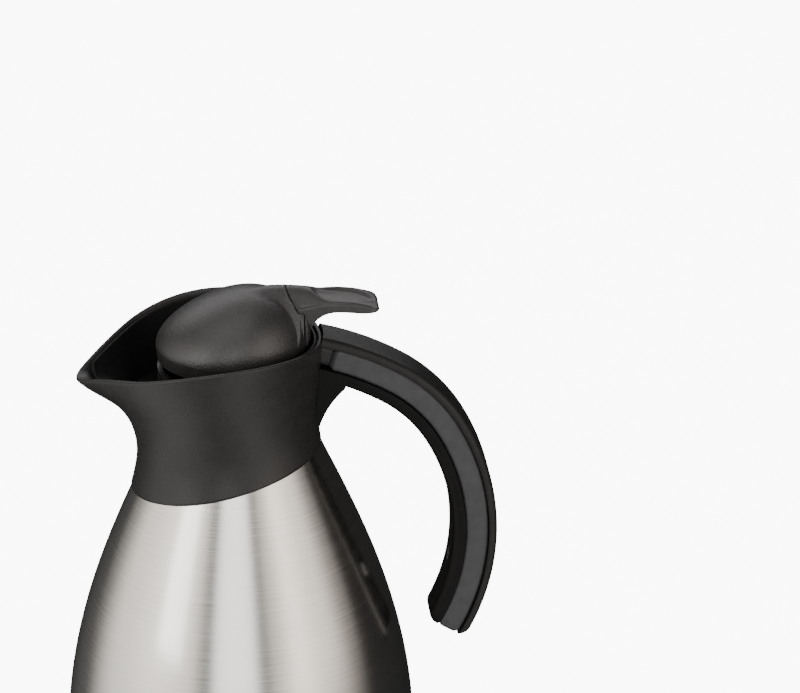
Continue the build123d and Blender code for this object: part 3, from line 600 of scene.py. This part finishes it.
def bowl_wall(inset, floor):
    """Rows up the bowl's wall: evenly spaced levels, angle by angle, from the floor to the rounded rim."""
    top = height_at(lambda x: rim_height(x, bowl_drop + bowl_rounding), inset)
    foot = height_at(lambda x: floor + 0 * x, inset)
    return collar_form(foot + np.linspace(0.0, 1.0, 40)[:, None] * (top - foot), around, inset)


bowl = np.concatenate([
    round_ring(mouth_radius, bowl_foot)[None],
    bowl_wall(bowl_outer, bowl_foot)[:-1],
    rim_arc(bowl_outer, bowl_inner, bowl_drop, bowl_rounding),
    bowl_wall(bowl_inner, bowl_floor)[-2::-1],
    round_ring(mouth_radius, bowl_floor)[None],
])
bowl[..., 0] += bowl_back * lip_share * (np.hypot(bowl[..., 0], bowl[..., 1]) > bowl_wall_from)
bowl[..., 2] -= bowl_down * lip_share * np.clip((bowl[..., 2] - bowl_floor) / bowl_lip_reach, 0.0, 1.0)
insert = link_mesh(
    "pouring_bowl",
    bowl,
    grid_faces(len(bowl), len(around), close_rows=True)[:, ::-1],
    insert_grey_and_shade,
    "flask",
)
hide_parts("pour_insert")


# ---- Handle: a grey moulded core between two black moulded shells, drawn together by screws from the finger
# side. A short stub of the collar goes into the core, and a pin through both holds them. The core's grey is
# partly its own tone and partly painted light on the lit side; the finger-side shell's darker black is
# painted shade.
handle_black = moulded_finish(
    "handle_black", (0.012, 0.0118, 0.0118), rough=0.42, size=1500.0, depth=0.00005, shine=0.25
)
# The core's lighter grey is partly its own tone and partly painted light on the handle's lit side face.
core_grey_and_light = moulded_finish(
    "core_grey_and_light", (0.046, 0.0468, 0.0484), rough=0.38, size=1800.0, depth=0.00003, shine=0.45
)
# Finger-side shell: a darker, duller copy of the back shell's black. This is painted shade on the half of the
# handle turned away from the light.
finger_black_painted_shade = moulded_finish(
    "finger_black_painted_shade", (0.005, 0.0048, 0.0048), rough=0.46, size=1500.0, depth=0.00004, shine=0.14
)
dull_screws = steel_finish(
    "dull_screws", (0.32, 0.32, 0.32), rough=0.4, stretch=1.0, scale=300.0, bump=0.00001
)
dark_pin = moulded_finish("dark_pin", (0.02, 0.02, 0.02), rough=0.35, size=2500.0, depth=0.00001, shine=0.4)
dress(handle_black, "handle_back_shell")
dress(finger_black_painted_shade, "handle_front_shell")
dress(dull_screws, "handle_screws")
dress(dark_pin, "handle_cross_pin")
handle_start = (30.3, 217.0)
arc_radii = np.array((115.0, 66.0, 92.0))
arc_turns = np.array((12.0, 30.0, 60.0))
outwards = np.stack([np.sin(np.radians(arc_turns)), np.cos(np.radians(arc_turns))], axis=-1)
centre_steps = (arc_radii[:-1] - arc_radii[1:])[:, None] * outwards[1:]
arc_centres = np.cumsum(np.vstack([handle_start - arc_radii[0] * outwards[0], centre_steps]), axis=0)
bar_stations, bar_points = 90, 64
degree_length = 1.6


def handle_at(turn, depth):
    """A point of the handle's side view at a turn in degrees from level, drawn in from the back by depth. The
    back is three arcs, each tangent to the last: centre + (radius - depth) times (sin turn, cos turn)."""
    arc = np.searchsorted(arc_turns[1:], turn)
    centre, reach = arc_centres[arc], arc_radii[arc] - depth
    swing = np.radians(turn)
    return centre[..., 0] + reach * np.sin(swing), centre[..., 1] + reach * np.cos(swing)


def end_caps(rows, columns):
    """The first and the last row of a grid as two flat faces that close its ends."""
    first = np.arange(columns)
    return [first[::-1].tolist(), (first + (rows - 1) * columns).tolist()]


def handle_bar(name, finish, turns, depth, half_depth, half_width, square, ends):
    """A bar along the handle with squared-off oval sections: each coordinate c of a circle becomes sign(c)
    times |c| to the power square. Near both ends the section draws in by up to ends, on a quarter circle."""
    stations = np.linspace(*turns, bar_stations)[:, None]
    from_end = np.minimum(stations - turns[0], turns[1] - stations) * degree_length
    draw_in = ends - np.sqrt(np.maximum(ends**2 - np.maximum(ends - from_end, 0.0) ** 2, 0.0))
    turn = np.linspace(0, 2 * pi, bar_points, endpoint=False)[None, :]
    deep = depth + (half_depth - draw_in) * np.sign(np.cos(turn)) * np.abs(np.cos(turn)) ** square
    side = (half_width - draw_in) * np.sign(np.sin(turn)) * np.abs(np.sin(turn)) ** square
    x, z = handle_at(stations + 0 * deep, deep)
    quads = grid_faces(bar_stations, bar_points)
    points = np.stack([x, side, z], axis=-1)
    return link_mesh(name, points, quads, finish, "flask", end_caps(bar_stations, bar_points))


core = handle_bar(
    "grip_core", core_grey_and_light,
    turns=(16.1, 120.3), depth=7.77, half_depth=4.62, half_width=8.15, square=0.22, ends=1.3,
)
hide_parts("handle_core")
handle_bar(
    "collar_stub", collar_black,
    turns=(12.5, 16.4), depth=7.75, half_depth=4.2, half_width=6.6, square=0.35, ends=0.3,
)
handle_bar(
    "collar_tongue", collar_black,
    turns=(15.9, 25.8), depth=7.75, half_depth=3.2, half_width=4.5, square=0.35, ends=0.5,
)


# ---- Stopper: a moulded plug with the pouring bore, a guard ring and the two ears of the hinge. A rubber
# ring seals it in the neck, and the hinge's steel pin and closing spring sit between the ears.
dress(collar_black, "stopper_body")
dress(soft_rubber, "plug_seal")
dress(dull_screws, "hinge_pin", "lid_spring")


# ---- Lid: a moulded black dome screwed to a plate that carries the rubber valve seal, with foam between.
# The crown rises in a soft ridge to the rear, where the thumb lever is let in behind a thin raised lip.
lid_black = moulded_finish(
    "lid_black", (0.019, 0.0183, 0.0186), rough=0.4, size=1300.0, depth=0.00014, shine=0.75
)
foam_white = moulded_finish("foam_white", (0.78, 0.76, 0.7), rough=0.9, size=900.0, depth=0.0002, shine=0.2)
dress(lid_black, "lid_plate")
dress(soft_rubber, "valve_seal")
dress(foam_white, "lid_insulation")
dress(dull_screws, "lid_screws")
dome_x, dome_base = -0.8, 212.6
dome_radius, dome_height, dome_tilt = 29.1, 20.4, 0.224
dome_wall = 2.2
skirt_depth, skirt_taper, skirt_arc = 5.0, 0.6, 15.0
# The ridge along x: its stations, its crown's heights and its heights at the lever's sides.
ridge_stations = (4.0, 12.0, 19.0, 25.0, 29.0, 33.0, 41.5, 50.0, 58.0)
ridge_crown = (232.9, 234.85, 235.0, 234.6, 233.9, 232.6, 231.0, 229.4, 226.4)
ridge_edge = (226.0, 229.0, 228.8, 228.2, 229.1, 230.1, 230.5, 229.1, 226.3)
ridge_fade_x, ridge_fade = 8.0, 0.03
ridge_from, ridge_full = -6.0, 3.0
flank_end_x, flank_softness = 24.3, 0.5
join_softness = 0.5
foot_blend = 4.0
lever_half = 9.5
lever_nose_x, lever_nose_radius = 32.8, 13.0
pocket_depth, pocket_gap, pocket_slope = 2.0, 0.25, 0.3
lip_height, lip_out, lip_width = 0.12, 0.75, 0.7
lip_end, lip_fade = 26.0, 3.0


def ridge_line(heights, x):
    """A line along the ridge: a natural spline, held level before the first station and sinking as a square
    before the fade's start."""
    sinking = ridge_fade * np.maximum(ridge_fade_x - x, 0.0) ** 2
    return natural(ridge_stations, heights, np.maximum(x, ridge_stations[0])) - sinking


def ridge_height(x, y):
    """The ridge's top: across it, a parabola from the crown line to the edge line at the lever's side."""
    crown, edge = ridge_line(ridge_crown, x), ridge_line(ridge_edge, x)
    return crown - (crown - edge) * (y / lever_half) ** 2


def outside_lever(x, y):
    """How far a point lies outside the lever's plan: past its sides or, before its nose, past a circle."""
    from_nose = np.where(x < lever_nose_x, np.hypot(x - lever_nose_x, y) - lever_nose_radius, -np.inf)
    return np.maximum(np.abs(y) - lever_half, from_nose)


def lid_surface(arc, angle, inset):
    """The lid's skin, drawn in by inset. Up to 90 the arc a walks down the dome at the angle b round it: with
    R and H its radius and height, x = R sin a cos b, y = R sin a sin b, z = (H + tilt x) cos a. Past 90 it
    goes down the tapered skirt. The outer skin takes the higher of dome and ridge, joined softly, with the
    lever's pocket let in and a raised lip round it, and all three die away towards the dome's foot."""
    a = np.radians(np.minimum(arc, 90.0))
    down = np.clip((arc - 90.0) / skirt_arc, 0.0, 1.0)
    reach = (dome_radius - inset) * np.sin(a) - skirt_taper * down
    across, y = reach * np.cos(angle), reach * np.sin(angle)
    x = across + dome_x
    rise = (dome_height - inset + dome_tilt * across) * np.cos(a)
    top = dome_base + rise
    if inset == 0:
        ridge = ridge_height(x, y)
        apart = np.abs(top - ridge) / join_softness
        joined = np.maximum(top, ridge) + join_softness * np.log1p(np.exp(-apart))
        over_dome = (joined - top) * step_up((across - ridge_from) / (ridge_full - ridge_from))
        beside = (np.abs(y) > lever_half) * step_up((x - flank_end_x) / flank_softness)
        out = outside_lever(x, y)
        lip = lip_height * step_up(1 - np.abs(out - lip_out) / lip_width)
        lip = lip * step_up((lip_end - across) / lip_fade)
        pocket = pocket_depth * step_up(0.5 - (out - pocket_gap) / pocket_slope)
        top = top + (over_dome * (1 - beside) + lip - pocket) * np.clip(rise / foot_blend, 0.0, 1.0)
    return np.stack([x, y, top - skirt_depth * down], axis=-1)


def fan(pole, ring):
    """Triangles between one point and a ring of points, facing the way the ring turns."""
    return np.stack([np.full(len(ring), pole), ring, np.roll(ring, -1)], axis=-1).tolist()


lid_columns, dome_rows, lining_rows = 480, 136, 24
slot_arc, foot_arc = 76.0, 90.0 + skirt_arc
lid_angles = np.linspace(-pi, pi, lid_columns, endpoint=False)
in_slot = (np.abs(dome_radius * np.sin(lid_angles)) < lever_half) & (np.cos(lid_angles) > 0)
lid_end = np.where(in_slot, slot_arc, foot_arc)
lid_skin = np.concatenate([
    lid_surface(np.linspace(0.0, 1.0, dome_rows)[1:, None] * lid_end, lid_angles, 0.0),
    lid_surface(np.linspace(1.0, 0.0, lining_rows)[:-1, None] * lid_end, lid_angles, dome_wall),
])
lid_poles = [lid_surface(0.0, 0.0, 0.0), lid_surface(0.0, 0.0, dome_wall)]
lid_count = len(lid_skin) * lid_columns
top_ring = np.arange(lid_columns)
cover = link_mesh(
    "lid_cover",
    np.concatenate([lid_skin.reshape(-1, 3), lid_poles]),
    grid_faces(len(lid_skin), lid_columns)[:, ::-1],
    lid_black,
    "lid",
    fan(lid_count, top_ring) + fan(lid_count + 1, lid_count - 1 - top_ring),
)
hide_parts("lid_dome")


# ---- Thumb lever: a smooth paddle moulded in grey plastic, with a sunk oval for the thumb. Its nose lies
# flush in the dome, and its root goes down behind the dome's rear edge to the lid's plate.
lever_grey = moulded_finish(
    "lever_grey", (0.034, 0.0328, 0.0332), rough=0.38, size=1900.0, depth=0.00003, shine=0.45
)
lever_corner = 0.7
lever_sides_x = (24.4, 51.6)
lever_tip_radius = 3.2
lever_under = [(28.9, 221.0), (34.0, 226.0), (41.0, 226.8), (49.4, 226.1), (53.8, 226.4)]
nose_thickness, root_deeper = 1.6, 5.6
root_from_x, root_softness = 25.6, 2.6
thumb_x, thumb_half_length, thumb_half_width = 41.2, 12.6, 7.6
thumb_depth, thumb_edge = 1.1, 0.42
groove_depth, groove_width, groove_in = 0.5, 0.24, 0.3
groove_from_x, groove_rise, groove_to_x, groove_fall = 24.0, 1.5, 53.5, 4.0
tip_round_x, tip_round = 53.6, 1.2
top_points, bend_points, side_points, under_points = 45, 5, 6, 19


def lever_plan():
    """The lever's stations along x and its half width there: round nose, straight sides, round corners."""
    swing = np.linspace(0.0, np.arcsin(lever_half / lever_nose_radius), 18)[1:]
    tip = np.linspace(0.0, pi / 2, 16)
    sides = np.linspace(*lever_sides_x, 84)[:-1]
    x = np.concatenate([
        lever_nose_x - lever_nose_radius * np.cos(swing),
        sides,
        lever_sides_x[1] + lever_tip_radius * np.sin(tip),
    ])
    half = np.concatenate([
        lever_nose_radius * np.sin(swing),
        np.full(len(sides), lever_half),
        lever_half - lever_tip_radius * (1 - np.cos(tip)),
    ])
    return x[:, None], half[:, None]


def lever_underside(x):
    """The underside's height: behind the dome a smooth line; inside it the ridge's edge line less the nose's
    thickness, which grows by a soft step at the root."""
    under_line = smooth_line(lever_under, (0.35, 1), (1, 0.1), 80)
    thickness = nose_thickness + root_deeper * step_up((x - root_from_x) / root_softness)
    under_nose = natural(ridge_stations, ridge_edge, x) - thickness
    return np.where(x < lever_under[0][0], under_nose, np.interp(x, under_line[:, 0], under_line[:, 1]))


def lever_top(x, y, edge):
    """The top's height: the ridge, less an oval hollow for the thumb and a thin groove just inside the edge,
    a bell curve across, which rises and dies away by soft steps along x."""
    from_thumb = ((x - thumb_x) / thumb_half_length) ** 2 + (y / thumb_half_width) ** 2
    hollow = thumb_depth * step_up((1.0 - from_thumb) / thumb_edge)
    groove = groove_depth * np.exp(-(((np.abs(y) - (edge - groove_in)) / groove_width) ** 2))
    groove = groove * step_up((x - groove_from_x) / groove_rise) * step_up((groove_to_x - x) / groove_fall)
    return ridge_height(x, y) - hollow - groove


def lever_skin():
    """Cross-sections of the lever from its nose to its tip. Each is a loop: the top across, a round corner,
    down the side, a second corner, across the underside and back up. Near the tip the loop is flattened
    towards its middle, along a quarter circle and by nine tenths at most."""
    x, half = lever_plan()
    low = lever_underside(x)
    corner = np.minimum(lever_corner, half / 2)
    edge = half - corner
    y_top = np.sin(np.linspace(-pi / 2, pi / 2, top_points)) * edge
    top = lever_top(x, y_top, edge)
    # The two corners together take a little less than the side's height.
    rounding = np.minimum(corner, np.maximum(ridge_height(x, half) - low, 0.2) / 2.2)
    bend = np.linspace(0, pi / 2, bend_points + 1)[1:]
    z_corner = top[:, -1:] - rounding * (1 - np.cos(bend))
    down_side = np.linspace(0, 1, side_points + 2)[1:-1]
    z_side = z_corner[:, -1:] + (low + rounding - z_corner[:, -1:]) * down_side
    right_y = [edge + corner * np.sin(bend), half + 0 * z_side, edge + corner * np.cos(bend)]
    right_z = [z_corner, z_side, low + rounding * (1 - np.sin(bend))]
    right_y, right_z = np.concatenate(right_y, axis=1), np.concatenate(right_z, axis=1)
    y_under = np.linspace(1, -1, under_points + 2)[1:-1] * edge
    y = np.concatenate([y_top, right_y, y_under, -right_y[:, ::-1]], axis=1)
    z = np.concatenate([top, right_z, low + 0 * y_under, right_z[:, ::-1]], axis=1)
    squeeze = tip_round - np.sqrt(np.maximum(tip_round**2 - np.maximum(x - tip_round_x, 0.0) ** 2, 0.0))
    off_middle = z - (z.max(axis=1, keepdims=True) + z.min(axis=1, keepdims=True)) / 2
    z = z - np.sign(off_middle) * np.minimum(squeeze, np.abs(off_middle) * 0.9)
    return np.stack([x + 0 * y, y, z], axis=-1)


lever_loops = lever_skin()
loop_count, loop_length = lever_loops.shape[:2]
point_count = loop_count * loop_length
nose_tip_x = lever_nose_x - lever_nose_radius
nose_tip_z = ridge_height(nose_tip_x, 0.0) - nose_thickness / 2
lever_ends = [(nose_tip_x, 0.0, nose_tip_z), lever_loops[-1].mean(axis=0)]
nose_ring = np.arange(loop_length)
lever = link_mesh(
    "thumb_paddle",
    np.concatenate([lever_loops.reshape(-1, 3), lever_ends]),
    grid_faces(loop_count, loop_length)[:, ::-1],
    lever_grey,
    "lid",
    fan(point_count, nose_ring) + fan(point_count + 1, point_count - 1 - nose_ring),
)
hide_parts("thumb_lever")

# The lever's root: its front is flat and its rear round, with the inset and height of each row listed.
root_radius, root_half, root_front_x = 28.9, 9.4, 26.3
root_profile = np.array([
    (0.3, 213.6), (0.0, 213.9), (0.0, 216.0), (0.0, 219.0), (0.0, 222.0), (0.4, 225.0), (0.9, 226.0)
])
root_turn = np.arcsin(np.linspace(-1, 1, 41) * root_half / root_radius)
root_reach = root_radius - root_profile[:, :1]
root_level = root_profile[:, 1:] + 0 * root_turn
root_rear = np.stack([root_reach * np.cos(root_turn), root_reach * np.sin(root_turn), root_level], axis=-1)
root_front = root_rear.copy()
root_front[..., 0] = root_front_x
root_loops = np.concatenate([root_rear, root_front[:, ::-1]], axis=1)
root_grid = root_loops.shape[:2]
link_mesh(
    "paddle_root",
    root_loops,
    grid_faces(*root_grid),
    lever_grey,
    "lid",
    end_caps(*root_grid),
)
